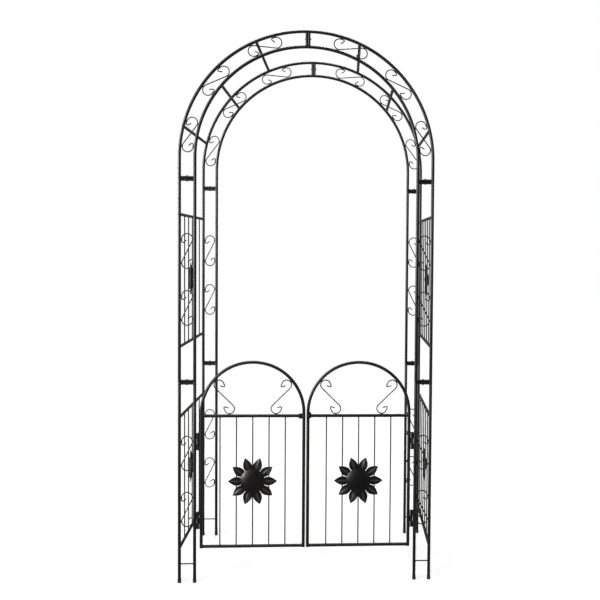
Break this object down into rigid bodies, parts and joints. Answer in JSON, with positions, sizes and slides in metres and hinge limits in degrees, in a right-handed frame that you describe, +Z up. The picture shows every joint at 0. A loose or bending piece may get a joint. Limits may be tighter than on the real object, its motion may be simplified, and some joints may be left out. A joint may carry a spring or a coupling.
{
  "type": "garden arch with gate",
  "caption": "Round-topped garden arch of two tube ladder frames with wire scrolls and barred side panels, hung with a double gate on knuckle hinges.",
  "frame": {"origin": "on the ground, in the middle between the four legs", "axes": "+Z up, +X to the right seen from the gate side, +Y from the gate side to the back"},
  "size_m": [1.0346, 0.5878, 2.2],
  "materials": {
    "black_powder_coat": "satin black powder coat, slightly textured",
    "black_fasteners": "black zinc plated steel",
    "black_plastic": "matte black moulded plastic"
  },
  "bodies": {
    "arch": {"front_left_leg": "black_powder_coat", "front_left_post": "black_powder_coat", "front_left_arch": "black_powder_coat", "front_left_scrolls": "black_powder_coat", "front_right_leg": "black_powder_coat", "front_right_post": "black_powder_coat", "front_right_arch": "black_powder_coat", "front_right_scrolls": "black_powder_coat", "back_left_leg": "black_powder_coat", "back_left_post": "black_powder_coat", "back_left_arch": "black_powder_coat", "back_left_scrolls": "black_powder_coat", "back_right_leg": "black_powder_coat", "back_right_post": "black_powder_coat", "back_right_arch": "black_powder_coat", "back_right_scrolls": "black_powder_coat", "foot_caps": "black_plastic", "joint_bolts": "black_fasteners", "joint_nuts": "black_fasteners", "left_lower_crossbar": "black_powder_coat", "left_inner_crossbar": "black_powder_coat", "left_upper_crossbar": "black_powder_coat", "left_lower_side_panel": "black_powder_coat", "left_lower_side_petals": "black_powder_coat", "left_lower_side_flower_centre": "black_powder_coat", "left_upper_side_panel": "black_powder_coat", "left_upper_side_petals": "black_powder_coat", "left_upper_side_flower_centre": "black_powder_coat", "left_hinge_frame_leaves": "black_powder_coat", "left_hinge_pins": "black_fasteners", "right_lower_crossbar": "black_powder_coat", "right_inner_crossbar": "black_powder_coat", "right_upper_crossbar": "black_powder_coat", "right_lower_side_panel": "black_powder_coat", "right_lower_side_petals": "black_powder_coat", "right_lower_side_flower_centre": "black_powder_coat", "right_upper_side_panel": "black_powder_coat", "right_upper_side_petals": "black_powder_coat", "right_upper_side_flower_centre": "black_powder_coat", "right_hinge_frame_leaves": "black_powder_coat", "right_hinge_pins": "black_fasteners"},
    "gate_left": {"left_gate_frame": "black_powder_coat", "left_gate_rods": "black_powder_coat", "left_gate_scrolls": "black_powder_coat", "left_gate_petals": "black_powder_coat", "left_gate_flower_centre": "black_powder_coat", "left_hinge_gate_leaves": "black_powder_coat", "latch_bracket": "black_powder_coat", "latch_pin": "black_fasteners"},
    "gate_right": {"right_gate_frame": "black_powder_coat", "right_gate_rods": "black_powder_coat", "right_gate_scrolls": "black_powder_coat", "right_gate_petals": "black_powder_coat", "right_gate_flower_centre": "black_powder_coat", "right_hinge_gate_leaves": "black_powder_coat", "latch_keeper": "black_powder_coat"},
    "latch_bar": {"latch_bar": "black_powder_coat"}
  },
  "joints": [
    {"name": "gate_left_swing", "type": "hinge", "parent": "arch", "child": "gate_left", "pos_m": [-0.427, -0.28, 0.4085], "axis": [0, 0, 1], "range_deg": [-90, 90]},
    {"name": "gate_right_swing", "type": "hinge", "parent": "arch", "child": "gate_right", "pos_m": [0.427, -0.28, 0.4085], "axis": [0, 0, 1], "range_deg": [-90, 90]},
    {"name": "latch_drop", "type": "hinge", "parent": "gate_left", "child": "latch_bar", "pos_m": [-0.00825, -0.28965, 0.67], "axis": [0, 1, 0], "range_deg": [0, 90]}
  ]
}
